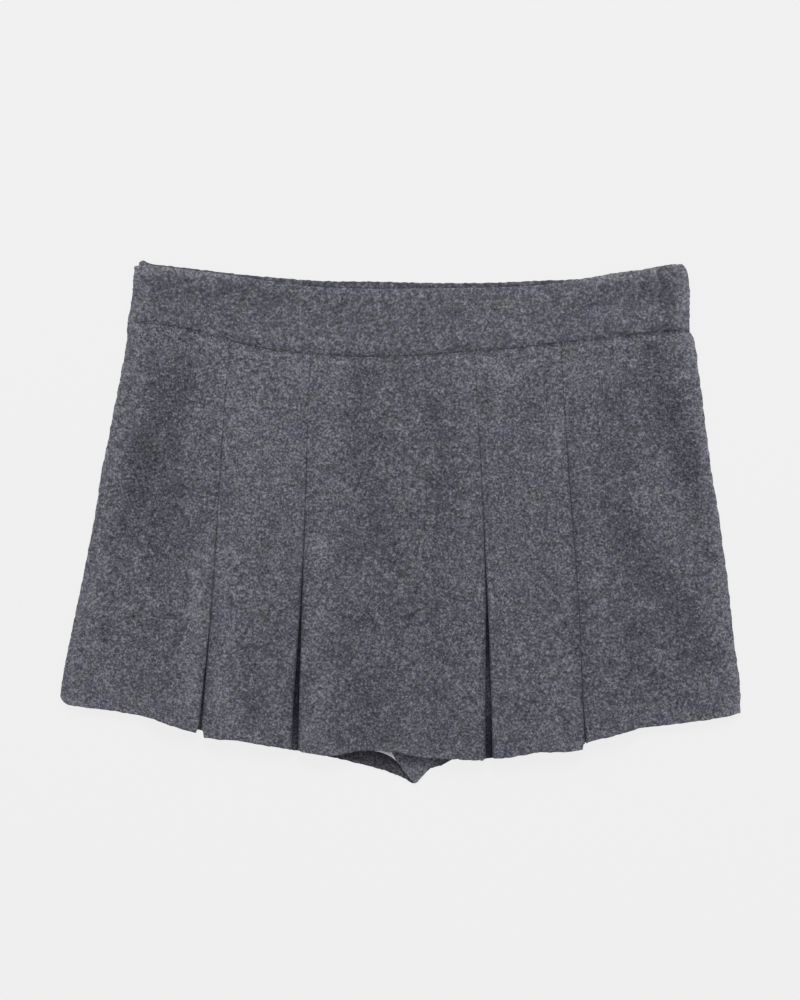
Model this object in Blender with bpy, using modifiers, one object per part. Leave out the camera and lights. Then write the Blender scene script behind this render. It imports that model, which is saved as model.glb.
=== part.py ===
"""Pleated mini skort in wool flannel, laid flat on its back.

Metres, +Z up, +X to the garment's right as it is seen from above, +Y towards the waist.
The origin is under the middle of the garment, on the surface that it lies on.
The layers lie on each other from the surface up: the backs of the shorts, the fronts of
the shorts, then the pleated skirt front with its underlays, returns and faces.
"""

from collections import namedtuple

import bpy
import numpy as np

MM = 0.001

# Cloth and the spaces between its layers.
CLOTH = 1.2 * MM
BAND_CLOTH = 2.6 * MM
LAYER_GAP = 0.3 * MM
SEAM_GAP = 0.3 * MM
FRONT_BED = CLOTH + LAYER_GAP
SKIRT_BED = FRONT_BED + CLOTH + LAYER_GAP
BAND_BED = BAND_CLOTH + LAYER_GAP

# Lines that run from the waist seam to the hem: x in mm at each share of the way down.
LINE_SHARES = (0.0, 0.06, 1 / 3, 2 / 3, 0.9, 1.0)
LINES = {
    "left_side": (-186.3, -187.1, -201.7, -217.3, -229.1, -231.7),
    "pleat_1": (-116.5, -118.0, -123.6, -129.0, -134.3, -136.6),
    "pleat_2": (-61.5, -62.6, -65.2, -68.6, -71.4, -72.1),
    "centre_seam": (3.0, 3.5, 6.0, 9.0, 12.5, 14.5),
    "pleat_3": (52.0, 52.3, 55.0, 58.6, 60.0, 60.4),
    "pleat_4": (108.9, 109.8, 115.0, 121.8, 124.6, 125.7),
    "right_side": (198.6, 201.8, 210.6, 223.7, 230.6, 231.7),
}

# Each pleat, in mm: half its open slit at the waist, lower down and at the hem, and the
# y of its underlay's hem.
Pleat = namedtuple("Pleat", "line slit_waist slit_low slit_hem underlay_hem_y")
PLEATS = (
    Pleat("pleat_1", 0.25, 0.40, 2.2, -142.3),
    Pleat("pleat_2", 0.25, 0.70, 2.7, -155.9),
    Pleat("pleat_3", 0.25, 0.90, 2.8, -161.6),
    Pleat("pleat_4", 0.25, 0.50, 0.9, -151.8),
)
SLIT_SHARES = (0.0, 0.6, 1.0)
PLEAT_DEPTH_WAIST = 17.0 * MM
PLEAT_DEPTH_HEM = 22.0 * MM
LAYER_STEP_WAIST = 1.6 * MM
LAYER_STEP_HEM = 2.5 * MM
FOLD_SIDES = 4

# Hem of each face: y in mm at even steps from its left edge to its right edge.
HEM_SHARES = tuple(step / 6 for step in range(7))
FACE_HEMS = (
    (-124.2, -125.5, -127.7, -130.5, -134.1, -139.5, -143.9),
    (-146.7, -148.4, -149.1, -150.5, -152.0, -153.4, -154.9),
    (-156.6, -158.7, -156.6, -157.5, -160.8, -162.4, -163.4),
    (-161.7, -161.1, -159.5, -157.5, -157.3, -156.8, -155.6),
    (-150.7, -147.2, -142.3, -138.6, -136.6, -134.4, -130.7),
)
FACE_STEPS = (6, 5, 12, 5, 6)
HIDDEN_HEM_TUCK = 1.0 * MM
SKIRT_ROWS = 13

# Where the faces come down off the pleats, and where the crotch holds them up.
RAMP_START = 3.0 * MM
RAMP_LENGTH = 14.0 * MM
LIFT_CENTRE_X = -14.0 * MM
LIFT_HALF_WIDTH = 46.0 * MM
LIFT_LEVEL = 0.9
LIFT_FROM = 0.60

# At each side the skirt comes down round the edge of the shorts' front to the side seam.
SIDE_SEAM_FLAT = 1.2 * MM
SIDE_SEAM_TURN = 2.4 * MM
SIDE_STATIONS = (0.0, 0.6, 1.2, 1.8, 2.4, 3.0, 3.6, 5.0)

# Waist seam, left to right: x and y in mm.
SEAM = (
    (-190, 136.0), (-171, 135.0), (-144, 131.6), (-127, 126.1), (-95, 119.3),
    (-55, 114.5), (0, 113.9), (52, 117.3), (109, 122.7), (143, 126.1),
    (164, 128.9), (188, 130.6), (200, 130.2),
)

# Top edges of the bands, left to right, in mm: the back edge, and how far the front one lies
# below it.
BandTop = namedtuple("BandTop", "x back_y front_drop")
BAND_TOPS = (
    BandTop(-182.0, 177.8, 3.0),
    BandTop(-176.6, 178.7, 4.1),
    BandTop(-167.7, 176.0, 3.1),
    BandTop(-134.9, 171.9, 1.4),
    BandTop(-82.3, 166.4, 1.7),
    BandTop(-54.3, 164.4, 2.2),
    BandTop(27.0, 163.0, 2.8),
    BandTop(65.2, 163.7, 2.4),
    BandTop(124.0, 166.4, 0.8),
    BandTop(148.6, 170.5, 0.3),
    BandTop(182.0, 175.7, 0.3),
    BandTop(195.0, 176.0, 0.3),
)
BACK_LEFT_TOP_X = -178.6 * MM
FRONT_LEFT_TOP_X = -181.8 * MM
BAND_RIGHT_TOP_X = 195.0 * MM
BAND_LEFT_FOOT_X = -186.3 * MM
BAND_RIGHT_FOOT_X = 197.7 * MM
BAND_RISE = 1.6 * MM
BAND_SIDE_FALL = 16.0 * MM
BAND_COLUMNS = 27
BAND_ROWS = 4

# Hems of the shorts from the left side seam to the right one: x and y in mm. The lowest
# point is the crotch, where the left leg's inseam ends.
BACK_HEM = (
    (-232, -121.0), (-182, -128.6), (-136.6, -140.6), (-108.3, -150.1), (-69.3, -156.8),
    (-45.4, -160.7), (-32.4, -164.1), (-9.9, -170.3), (0.8, -174.4), (9.6, -178.5),
    (15.6, -173.0), (19.1, -169.1), (27.6, -166.4), (34.3, -162.8), (50, -160.7),
    (80, -158.0), (125.7, -149.8), (180, -136.1), (232, -128.6),
)
FRONT_HEM = (
    (-232, -118.0), (-182, -125.0), (-136, -135.0), (-108, -142.0), (-72, -150.0),
    (-48, -154.0), (-24.2, -156.2), (-16.9, -157.6), (-10.9, -160.0), (-5.9, -162.7),
    (-2.3, -165.6), (0.8, -169.9), (5.0, -174.6), (9.6, -178.1), (15.4, -172.6),
    (18.8, -168.2), (22.2, -164.1), (27, -161.0), (50, -156.0), (80, -153.0),
    (125.7, -145.0), (180, -132.0), (232, -125.0),
)
BACK_INSET = 0.3 * MM
FRONT_INSET = 4.2 * MM
SHORTS_COLUMNS = 22
SHORTS_ROWS = 9
COLUMN_CROWDING = 1.9

# The left leg's opening gapes a little beside the crotch.
GAPE_CENTRE_X = -18.0 * MM
GAPE_HALF_WIDTH = 26.0 * MM
GAPE_HEIGHT = 2.6 * MM
GAPE_FROM = 0.80

# Pale lining edge inside the left leg opening.
LINING = 1.0 * MM
LINING_LEFT_X = -25.0 * MM
LINING_RIGHT_X = -5.0 * MM
LINING_WIDTH = 6.0 * MM
LINING_SETBACK = 0.4 * MM
LINING_COLUMNS = 9
LINING_ROWS = 3

# Materials: colour, roughness.
WOOL = ((0.105, 0.106, 0.125, 1.0), 0.95)
LINING_CLOTH = ((0.42, 0.42, 0.45, 1.0), 0.70)


def curve_through(known_x, known_y, x):
    """Cubic curve through the known points, its slope at each from the points beside it."""
    known_x = np.array(known_x, dtype=float)
    known_y = np.array(known_y, dtype=float)
    slope = np.gradient(known_y, known_x)
    left = np.clip(np.searchsorted(known_x, x, side="right") - 1, 0, len(known_x) - 2)
    span = known_x[left + 1] - known_x[left]
    share = np.clip((x - known_x[left]) / span, 0.0, 1.0)
    start = (1 + 2 * share) * (1 - share) ** 2 * known_y[left]
    end = share ** 2 * (3 - 2 * share) * known_y[left + 1]
    leave = share * (1 - share) ** 2 * slope[left] * span
    arrive = share ** 2 * (share - 1) * slope[left + 1] * span
    return start + end + leave + arrive


def soft_step(value):
    """0 below 0, 1 above 1, and smooth between them."""
    value = np.clip(value, 0.0, 1.0)
    return value * value * (3 - 2 * value)


def hump(value):
    """1 at 0, falling smoothly to 0 at -1 and 1."""
    return np.where(np.abs(value) < 1, np.cos(value * np.pi / 2) ** 2, 0.0)


def line_x(name, share):
    """x of a named line at a share of the way from the waist seam to the hem."""
    return curve_through(LINE_SHARES, LINES[name], share) * MM


def table_y(rows, x):
    """y in metres at x in metres, on the curve through a table of x and y in mm."""
    known_x, known_y = zip(*rows)
    return curve_through(known_x, known_y, x / MM) * MM


def make_material(name, finish):
    colour, roughness = finish
    material = bpy.data.materials.new(name)
    material.use_nodes = True
    shader = material.node_tree.nodes["Principled BSDF"]
    shader.inputs["Base Color"].default_value = colour
    shader.inputs["Roughness"].default_value = roughness
    shader.inputs["Metallic"].default_value = 0.0
    material.diffuse_color = colour
    return material


def make_cloth(name, points, thickness, side, finish, collection):
    """Cloth wall: a grid of points, hem row first, thickened by Solidify.

    side is 1 where the points are the wall's underside, and 0 where they are its middle.
    """
    rows, columns = points.shape[:2]
    first = (np.arange(rows - 1)[:, None] * columns + np.arange(columns - 1)).ravel()
    faces = np.stack((first, first + 1, first + columns + 1, first + columns), axis=1)
    mesh = bpy.data.meshes.new(name)
    mesh.from_pydata(points.reshape(-1, 3).tolist(), [], faces.tolist())
    mesh.update()
    mesh.shade_smooth()
    mesh.set_sharp_from_angle(angle=np.radians(50))
    cloth = bpy.data.objects.new(name, mesh)
    cloth.data.materials.append(make_material(name + "_cloth", finish))
    collection.objects.link(cloth)
    wall = cloth.modifiers.new("wall", "SOLIDIFY")
    wall.thickness = thickness
    wall.offset = side
    wall.use_even_offset = True
    wall.use_quality_normals = True
    return cloth


# --- Skirt front -------------------------------------------------------------------

def slit_half_width(pleat, share):
    """Half the open slit between two faces, narrow at the waist and widest at the hem."""
    widths = (pleat.slit_waist, pleat.slit_low, pleat.slit_hem)
    return curve_through(SLIT_SHARES, widths, share) * MM


def layer_step(share):
    """Height from the middle of one folded layer to the next: pressed at the waist, softer below."""
    return LAYER_STEP_WAIST + (LAYER_STEP_HEM - LAYER_STEP_WAIST) * share ** 1.5


def fold_centres(share):
    """x of the fold at each face's left and right edge, on the axis of its turn."""
    reach = layer_step(share) / 2 + CLOTH / 2
    lefts = [line_x("left_side", share)]
    rights = []
    for pleat in PLEATS:
        middle = line_x(pleat.line, share)
        open_half = slit_half_width(pleat, share)
        rights.append(middle - open_half - reach)
        lefts.append(middle + open_half + reach)
    rights.append(line_x("right_side", share))
    return lefts, rights


def face_level(x, left, right, has_left_pleat, has_right_pleat, depth, share):
    """1 where a face lies on a pleat's folds, 0 where it lies on the shorts."""
    level = np.zeros_like(x)
    if has_left_pleat:
        level = np.maximum(level, 1 - soft_step((x - left - depth - RAMP_START) / RAMP_LENGTH))
    if has_right_pleat:
        level = np.maximum(level, 1 - soft_step((right - x - depth - RAMP_START) / RAMP_LENGTH))
    if has_left_pleat and has_right_pleat:
        held_up = hump((x - LIFT_CENTRE_X) / LIFT_HALF_WIDTH) ** 0.5
        held_up = LIFT_LEVEL * held_up * soft_step((share - LIFT_FROM) / (1 - LIFT_FROM))
        level = np.maximum(level, held_up)
    return level


def face_stations(face, left, right):
    """x of the points across a face: even steps, with close ones at a side seam."""
    steps = np.linspace(left, right, FACE_STEPS[face] + 1)
    close = np.array(SIDE_STATIONS) * MM
    if face == 0:
        return np.concatenate((left + close, steps[1:]))
    if face == len(FACE_STEPS) - 1:
        return np.concatenate((steps[:-1], right - close[::-1]))
    return steps


def side_fall(x, left, right):
    """How far a face drops towards the side seams at left and right."""
    from_side = np.minimum(x - left, right - x)
    return (CLOTH + LAYER_GAP) * (1 - soft_step((from_side - SIDE_SEAM_FLAT) / SIDE_SEAM_TURN))


def turn(x, low_z, high_z, toward, upward):
    """Half circle that joins two layers at x, bulging toward +X or -X."""
    radius = (high_z - low_z) / 2
    angle = np.linspace(-np.pi / 2, np.pi / 2, FOLD_SIDES + 1)
    if not upward:
        angle = angle[::-1]
    return x + toward * radius * np.cos(angle), (low_z + high_z) / 2 + radius * np.sin(angle)


def hidden_hem(pleat_index, x, lefts, rights, depth):
    """Hem of a pleat's underlay and returns: a curve tucked just inside the faces' hems."""
    left_edge = rights[pleat_index]
    right_edge = lefts[pleat_index + 1]
    left_share = 1 - depth / (left_edge - lefts[pleat_index])
    right_share = depth / (rights[pleat_index + 1] - right_edge)
    left_y = curve_through(HEM_SHARES, FACE_HEMS[pleat_index], left_share) * MM
    right_y = curve_through(HEM_SHARES, FACE_HEMS[pleat_index + 1], right_share) * MM
    known_x = (left_edge - depth, (left_edge + right_edge) / 2, right_edge + depth)
    middle_y = PLEATS[pleat_index].underlay_hem_y * MM
    known_y = (left_y + HIDDEN_HEM_TUCK, middle_y, right_y + HIDDEN_HEM_TUCK)
    return curve_through(known_x, known_y, np.clip(x, known_x[0], known_x[2]))


def skirt_section(share):
    """x, z and hem y of every point across the skirt at one share of the way down."""
    low = SKIRT_BED + CLOTH / 2
    step = layer_step(share)
    middle = low + step
    high = middle + step
    depth = PLEAT_DEPTH_WAIST + (PLEAT_DEPTH_HEM - PLEAT_DEPTH_WAIST) * share
    lefts, rights = fold_centres(share)
    hem_lefts, hem_rights = fold_centres(1.0)
    xs, zs, hems = [], [], []
    last = len(FACE_STEPS) - 1
    for face in range(len(FACE_STEPS)):
        x = face_stations(face, lefts[face], rights[face])
        along = (x - lefts[face]) / (rights[face] - lefts[face])
        level = face_level(x, lefts[face], rights[face], face > 0, face < last, depth, share)
        xs.append(x)
        zs.append(low + (high - low) * level - side_fall(x, lefts[0], rights[last]))
        hems.append(curve_through(HEM_SHARES, FACE_HEMS[face], along) * MM)
        if face == last:
            break
        left_edge = rights[face]
        right_edge = lefts[face + 1]
        bends = (
            turn(left_edge, middle, high, 1, upward=False),
            turn(left_edge - depth, low, middle, -1, upward=False),
            turn(right_edge + depth, low, middle, 1, upward=True),
            turn(right_edge, middle, high, -1, upward=True),
        )
        x = np.concatenate([bend[0] for bend in bends])[1:-1]
        z = np.concatenate([bend[1] for bend in bends])[1:-1]
        xs.append(x)
        zs.append(z)
        hem_x = np.interp(x, (left_edge - depth, right_edge + depth),
                          (hem_rights[face] - PLEAT_DEPTH_HEM, hem_lefts[face + 1] + PLEAT_DEPTH_HEM))
        hems.append(hidden_hem(face, hem_x, hem_lefts, hem_rights, PLEAT_DEPTH_HEM))
    return np.concatenate(xs), np.concatenate(zs), np.concatenate(hems)


def skirt_points():
    """The pleated front, row by row from the hem to the waist seam."""
    rows = []
    top_x = skirt_section(0.0)[0]
    top_y = table_y(SEAM, top_x) - SEAM_GAP / 2
    for share in np.linspace(1.0, 0.0, SKIRT_ROWS):
        x, z, hem_y = skirt_section(share)
        rows.append(np.stack((x, top_y + (hem_y - top_y) * share, z), axis=1))
    return np.array(rows)


# --- Shorts ------------------------------------------------------------------------

def shorts_points(share, side, centre, hem, bed, gape):
    """Half of the shorts, from the side seam to the centre seam, columns crowded at the crotch."""
    even = np.linspace(0.0, 1.0, SHORTS_COLUMNS)
    x = side + (centre - side) * (1 - (1 - even) ** COLUMN_CROWDING)
    top_y = table_y(SEAM, x[-1]) - SEAM_GAP / 2
    foot_y = table_y(hem, x[0])
    y = top_y + (foot_y - top_y) * share
    z = np.full_like(x, bed)
    if gape:
        z = z + GAPE_HEIGHT * hump((x - GAPE_CENTRE_X) / GAPE_HALF_WIDTH) * soft_step(
            (share - GAPE_FROM) / (1 - GAPE_FROM))
    return np.stack((x, y, z), axis=2)


def left_half(hem, bed, inset, gape):
    """Back or front of the left leg; gape lifts the front's hem beside the crotch."""
    share = np.linspace(1.0, 0.0, SHORTS_ROWS)[:, None]
    side = line_x("left_side", share) + inset
    centre = line_x("centre_seam", share) - SEAM_GAP / 2
    return shorts_points(share, side, centre, hem, bed, gape)


def right_half(hem, bed, inset):
    """The right half runs from its side seam too, so its columns are turned round at the end."""
    share = np.linspace(1.0, 0.0, SHORTS_ROWS)[:, None]
    side = line_x("right_side", share) - inset
    centre = line_x("centre_seam", share) + SEAM_GAP / 2
    return shorts_points(share, side, centre, hem, bed, False)[:, ::-1]


# --- Lining edge -------------------------------------------------------------------

def lining_points():
    """Strip above the left front leg's hem, a layer above the cloth that it lies on."""
    x = np.linspace(LINING_LEFT_X, LINING_RIGHT_X, LINING_COLUMNS)
    edge_y = table_y(FRONT_HEM, x) + LINING_SETBACK
    across = np.linspace(0.0, 1.0, LINING_ROWS)[:, None]
    y = edge_y + LINING_WIDTH * across
    gape = GAPE_HEIGHT * hump((x - GAPE_CENTRE_X) / GAPE_HALF_WIDTH)
    z = FRONT_BED + CLOTH + LAYER_GAP + gape + 0 * y
    return np.stack((x + 0 * y, y, z), axis=2)


# --- Bands -------------------------------------------------------------------------

def band_points(top_edge, top_left_x, bed, rise):
    """Contoured band from the waist seam to its top edge; rise lifts its foot over the pleats."""
    along = np.linspace(0.0, 1.0, BAND_COLUMNS)
    up = np.linspace(0.0, 1.0, BAND_ROWS)[:, None]
    foot_x = BAND_LEFT_FOOT_X + (BAND_RIGHT_FOOT_X - BAND_LEFT_FOOT_X) * along
    top_x = top_left_x + (BAND_RIGHT_TOP_X - top_left_x) * along
    x = foot_x + (top_x - foot_x) * up
    foot_y = table_y(SEAM, foot_x) + SEAM_GAP / 2
    y = foot_y + (table_y(top_edge, top_x) - foot_y) * up
    from_side = np.minimum(x - x[:, :1], x[:, -1:] - x)
    z = bed + rise * soft_step(from_side / BAND_SIDE_FALL) * (1 - soft_step(up))
    return np.stack((x, y, z), axis=2)


def build():
    for thing in list(bpy.data.objects):
        bpy.data.objects.remove(thing, do_unlink=True)
    garment = bpy.data.collections.new("pleated_mini_skort")
    bpy.context.scene.collection.children.link(garment)

    back_left = left_half(BACK_HEM, 0.0, BACK_INSET, False)
    back_right = right_half(BACK_HEM, 0.0, BACK_INSET)
    front_left = left_half(FRONT_HEM, FRONT_BED, FRONT_INSET, True)
    front_right = right_half(FRONT_HEM, FRONT_BED, FRONT_INSET)
    make_cloth("shorts_back_left", back_left, CLOTH, 1, WOOL, garment)
    make_cloth("shorts_back_right", back_right, CLOTH, 1, WOOL, garment)
    make_cloth("shorts_front_left", front_left, CLOTH, 1, WOOL, garment)
    make_cloth("shorts_front_right", front_right, CLOTH, 1, WOOL, garment)
    make_cloth("lining_edge_left", lining_points(), LINING, 1, LINING_CLOTH, garment)
    make_cloth("skirt_front", skirt_points(), CLOTH, 0, WOOL, garment)

    back_top = [(row.x, row.back_y) for row in BAND_TOPS]
    front_top = [(row.x, row.back_y - row.front_drop) for row in BAND_TOPS]
    band_back = band_points(back_top, BACK_LEFT_TOP_X, 0.0, 0.0)
    band_front = band_points(front_top, FRONT_LEFT_TOP_X, BAND_BED, BAND_RISE)
    make_cloth("waistband_back", band_back, BAND_CLOTH, 1, WOOL, garment)
    make_cloth("waistband_front", band_front, BAND_CLOTH, 1, WOOL, garment)


build()
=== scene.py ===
"""Looks of a pleated mini skort in charcoal wool flannel, laid flat and seen from above."""

from collections import namedtuple

import bpy
import numpy as np
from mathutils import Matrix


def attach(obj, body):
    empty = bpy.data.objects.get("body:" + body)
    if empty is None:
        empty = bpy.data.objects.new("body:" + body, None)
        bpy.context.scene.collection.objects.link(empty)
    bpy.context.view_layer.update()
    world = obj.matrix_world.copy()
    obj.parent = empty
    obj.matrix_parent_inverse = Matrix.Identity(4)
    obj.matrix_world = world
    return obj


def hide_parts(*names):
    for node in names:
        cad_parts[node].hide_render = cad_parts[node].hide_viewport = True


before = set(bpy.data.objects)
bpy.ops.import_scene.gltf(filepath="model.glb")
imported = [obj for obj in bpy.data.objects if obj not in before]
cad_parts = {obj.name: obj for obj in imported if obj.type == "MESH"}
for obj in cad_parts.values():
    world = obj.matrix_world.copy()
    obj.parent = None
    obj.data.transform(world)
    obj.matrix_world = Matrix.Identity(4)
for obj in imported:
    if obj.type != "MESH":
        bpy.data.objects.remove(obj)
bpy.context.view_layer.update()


# --- Studio -----------------------------------------------
# A plain pale table lit from within, as for a cut-out, and the camera straight above the
# garment. The soft light comes mostly from beyond the waist, a little from the right.

MM = 0.001
PHOTO_HEIGHT = 1000
MM_PER_PIXEL = 0.683
VIEW_CENTRE_X = -0.7 * MM
VIEW_CENTRE_Y = 14.7 * MM
CLOTH_PLANE_Z = 2.5 * MM
LENS = 110.0
FILM_HEIGHT = 36.0
FARTHEST_SEEN = 20.0
TABLE_SIZE = 8.0
TABLE_COLOUR = (0.06, 0.06, 0.06, 1.0)
TABLE_GLOW = 0.812
SKY_STRENGTH = 0.52
KEY_POWER = 33.5
KEY_SIZE = 1.0
KEY_DISTANCE = 2.2
KEY_FROM_ZENITH = np.radians(47)
KEY_BEARING = np.radians(84)


def new_material(name):
    """A material with its node tree and the Principled shader in it."""
    material = bpy.data.materials.new(name)
    material.use_nodes = True
    return material, material.node_tree, material.node_tree.nodes["Principled BSDF"]


def add_studio():
    """Softly lit table, sky and key light; the bearing is measured from +X towards +Y."""
    mesh = bpy.data.meshes.new("table")
    half = TABLE_SIZE / 2
    corners = [(-half, -half, 0), (half, -half, 0), (half, half, 0), (-half, half, 0)]
    mesh.from_pydata(corners, [], [(0, 1, 2, 3)])
    table = bpy.data.objects.new("table", mesh)
    bpy.context.scene.collection.objects.link(table)
    finish, _, shader = new_material("table_paper")
    shader.inputs["Base Color"].default_value = TABLE_COLOUR
    shader.inputs["Roughness"].default_value = 1.0
    shader.inputs["Specular IOR Level"].default_value = 0.0
    shader.inputs["Emission Color"].default_value = (1.0, 1.0, 1.0, 1.0)
    shader.inputs["Emission Strength"].default_value = TABLE_GLOW
    mesh.materials.append(finish)

    world = bpy.data.worlds.new("soft_room")
    world.use_nodes = True
    sky = world.node_tree.nodes["Background"]
    sky.inputs["Color"].default_value = (1.0, 1.0, 1.0, 1.0)
    sky.inputs["Strength"].default_value = SKY_STRENGTH
    bpy.context.scene.world = world

    key = bpy.data.lights.new("key", "AREA")
    key.energy = KEY_POWER
    key.size = KEY_SIZE
    lamp = bpy.data.objects.new("key", key)
    reach = KEY_DISTANCE * np.sin(KEY_FROM_ZENITH)
    height = KEY_DISTANCE * np.cos(KEY_FROM_ZENITH)
    lamp.location = (reach * np.cos(KEY_BEARING), reach * np.sin(KEY_BEARING), height)
    lamp.rotation_euler = (KEY_FROM_ZENITH, 0.0, KEY_BEARING + np.pi / 2)
    bpy.context.scene.collection.objects.link(lamp)
    return table


def add_camera():
    """Long lens straight down, as far away as makes the frame as tall as the photo's."""
    lens = bpy.data.cameras.new("camera")
    lens.sensor_fit = "VERTICAL"
    lens.sensor_height = FILM_HEIGHT
    lens.lens = LENS
    lens.clip_end = FARTHEST_SEEN
    camera = bpy.data.objects.new("camera", lens)
    distance = PHOTO_HEIGHT * MM_PER_PIXEL * MM * LENS / FILM_HEIGHT
    camera.location = (VIEW_CENTRE_X, VIEW_CENTRE_Y, CLOTH_PLANE_Z + distance)
    bpy.context.scene.collection.objects.link(camera)
    bpy.context.scene.camera = camera


table = add_studio()
add_camera()
bpy.context.scene.view_settings.view_transform = "Standard"
bpy.context.scene.view_settings.look = "None"


# --- Backs of the shorts ----------------------------------
# Two flat panels of wool flannel on the table, joined by a centre back seam. They are also
# the garment's back. Each hem is turned up inside and shows beside the crotch.

CLOTH = 1.2 * MM
LAYER_GAP = 0.3 * MM
SEAM_GAP = 0.3 * MM
SEAM_PRESS = 0.25 * MM

# The garment's lines: x in mm at these shares of the way from the waist seam to the hem.
LINE_SHARES = (0.0, 0.06, 1 / 3, 2 / 3, 0.9, 1.0)
LINES = {
    "left_side": (-186.3, -187.1, -201.7, -217.3, -229.1, -231.7),
    "pleat_1": (-116.5, -118.1, -123.3, -128.8, -134.5, -137.0),
    "pleat_2": (-61.5, -62.6, -64.8, -68.5, -71.6, -72.4),
    "centre_seam": (3.0, 3.5, 6.0, 9.0, 12.5, 14.5),
    "pleat_3": (50.5, 51.1, 55.2, 58.7, 59.6, 60.1),
    "pleat_4": (108.9, 109.7, 114.5, 121.4, 124.1, 125.7),
    "right_side": (198.6, 201.8, 210.6, 223.7, 230.6, 231.7),
}

# The waist seam and the hem of the backs: rows of x and y in mm.
SEAM = (
    (-190, 135.4), (-171, 134.2), (-144, 130.8), (-127, 125), (-95, 117.7),
    (-55, 112.8), (0, 112.4), (52, 115.3), (109, 120.9), (143, 124.7),
    (164, 127.6), (188, 129.4), (200, 130),
)
BACK_HEM = (
    (-232, -121), (-182, -128.6), (-136.6, -140.6), (-108.3, -150.1), (-69.3, -156.8),
    (-45.4, -161.5), (-32.4, -164.6), (-9.9, -170.7), (0.8, -174.8), (9.6, -178.7),
    (15.6, -173.4), (19.1, -169.5), (27.6, -166.8), (34.3, -163.1), (50, -160.7),
    (80, -158), (125.7, -149.8), (180, -136.1), (232, -128.6),
)
BACK_INSET = 1.1 * MM
BACK_WAIST_INSET = 1.6 * MM
WAIST_INSET_SHARE = 0.03
SHORTS_COLUMNS = 110
SHORTS_ROWS = 90
SHORTS_MEAN_WIDTH = 200 * MM
SHORTS_MEAN_LENGTH = 280 * MM
COLUMN_CROWDING = 1.9

# The fronts' hem, under which the inside of the backs gets painted shade. A crescent of it
# shows beside the crotch, its painted shade lighter along its own hem turn.
FRONT_HEM = (
    (-232, -118), (-182, -125), (-136, -135), (-108, -142), (-72, -150),
    (-48, -153.6), (-24.2, -155.6), (-16.9, -156.8), (-10.9, -158.7), (-5.9, -161.4),
    (-2.3, -164.8), (0.8, -169.3), (5, -174.5), (9.6, -178.4), (15.4, -173),
    (18.8, -168.5), (22.2, -164.1), (27, -161), (50, -156), (80, -153),
    (125.7, -145), (180, -132), (232, -125),
)
HEM_TURN_WIDTH = 7.5 * MM
HEM_TURN_HEIGHT = 0.5 * MM
HEM_TURN_STEP = 1.2 * MM
INSIDE_PAINTED_SHADE = 0.56
RIGHT_INSIDE_PAINTED_SHADE = 0.25
HEM_TURN_LIGHTER = 0.30
CRESCENT_LEFT_X = -45 * MM
CRESCENT_RUN = 15 * MM
CRESCENT_HEIGHT = 7 * MM
RIM_STATIONS = (0.0, 0.08, 0.30, 0.75, 1.5, 3.0)

# Soft troughs and ridges pressed in the cloth, in mm: ends, half width and depth. A ridge
# has a negative depth. The last column is how much painted shade darkens the cloth there;
# below zero it is a painted highlight.
Crease = namedtuple("Crease", "x1 y1 x2 y2 width depth tone")


def crease_rows(*rows):
    """Creases from plain rows in the order of their columns."""
    return [Crease(*row) for row in rows]


BACK_CREASES = crease_rows(
    (-150, 96, -176, 30, 15, 0.20, 0.10), (-176, 30, -190, -30, 14, 0.18, 0.11),
    (-120, 20, -142, -56, 12, 0.12, 0.08), (-62, 84, -74, 6, 14, 0.12, 0.07),
    (-30, -20, -36, -96, 16, 0.10, 0.06), (28, 92, 36, 10, 13, 0.12, 0.08),
    (60, -30, 84, -88, 15, 0.12, 0.07), (118, 84, 140, 22, 12, 0.16, 0.09),
    (160, 104, 186, 44, 12, 0.20, 0.12), (186, 44, 198, -24, 11, 0.16, 0.11),
    (136, -40, 166, -92, 13, 0.12, 0.08),
)
MOST_TROUGH = 0.2 * MM
BACK_SEAM_SHADE = 0.22
BACK_SEAM_RUN = 1.3 * MM
OUTSIDE_TONE = 0.039

# Cut edges wander a little: the waves' lengths, how far each goes, and how deep it reaches.
EDGE_WAVES = (2.9 * MM, 4.7 * MM, 8.3 * MM, 13.7 * MM)
EDGE_WANDER = 0.11 * MM
EDGE_REACH = 1.6 * MM


def curve_through(known_x, known_y, x):
    """Cubic curve through the known points, its slope at each from the points beside it."""
    known_x = np.array(known_x, dtype=float)
    known_y = np.array(known_y, dtype=float)
    slope = np.gradient(known_y, known_x)
    left = np.clip(np.searchsorted(known_x, x, side="right") - 1, 0, len(known_x) - 2)
    span = known_x[left + 1] - known_x[left]
    share = np.clip((x - known_x[left]) / span, 0.0, 1.0)
    start = (1 + 2 * share) * (1 - share) ** 2 * known_y[left]
    end = share ** 2 * (3 - 2 * share) * known_y[left + 1]
    leave = share * (1 - share) ** 2 * slope[left] * span
    arrive = share ** 2 * (share - 1) * slope[left + 1] * span
    return start + end + leave + arrive


def table_value(rows, x):
    """Value at x in metres, on the curve through a table of x in mm and values."""
    known_x, known_value = zip(*rows)
    return curve_through(known_x, known_value, x / MM)


def table_y(rows, x):
    """y in metres, from a table of x and y in mm."""
    return table_value(rows, x) * MM


def line_x(name, share):
    """x of a named line at a share of the way from the waist seam to the hem."""
    return curve_through(LINE_SHARES, LINES[name], share) * MM


def soft_step(value):
    """0 below 0, 1 above 1, and smooth between them."""
    value = np.clip(value, 0.0, 1.0)
    return value * value * (3 - 2 * value)


def hump(value):
    """1 at 0, falling smoothly to 0 at -1 and 1."""
    return np.where(np.abs(value) < 1, np.cos(value * np.pi / 2) ** 2, 0.0)


def shares_with_rims(count, length):
    """Even shares of a length, with close ones at both ends for the rounded edges."""
    close = np.array(RIM_STATIONS) * MM / length
    even = np.linspace(close[-1], 1 - close[-1], count)
    return np.concatenate((close[:-1], even, 1 - close[-2::-1]))


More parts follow.
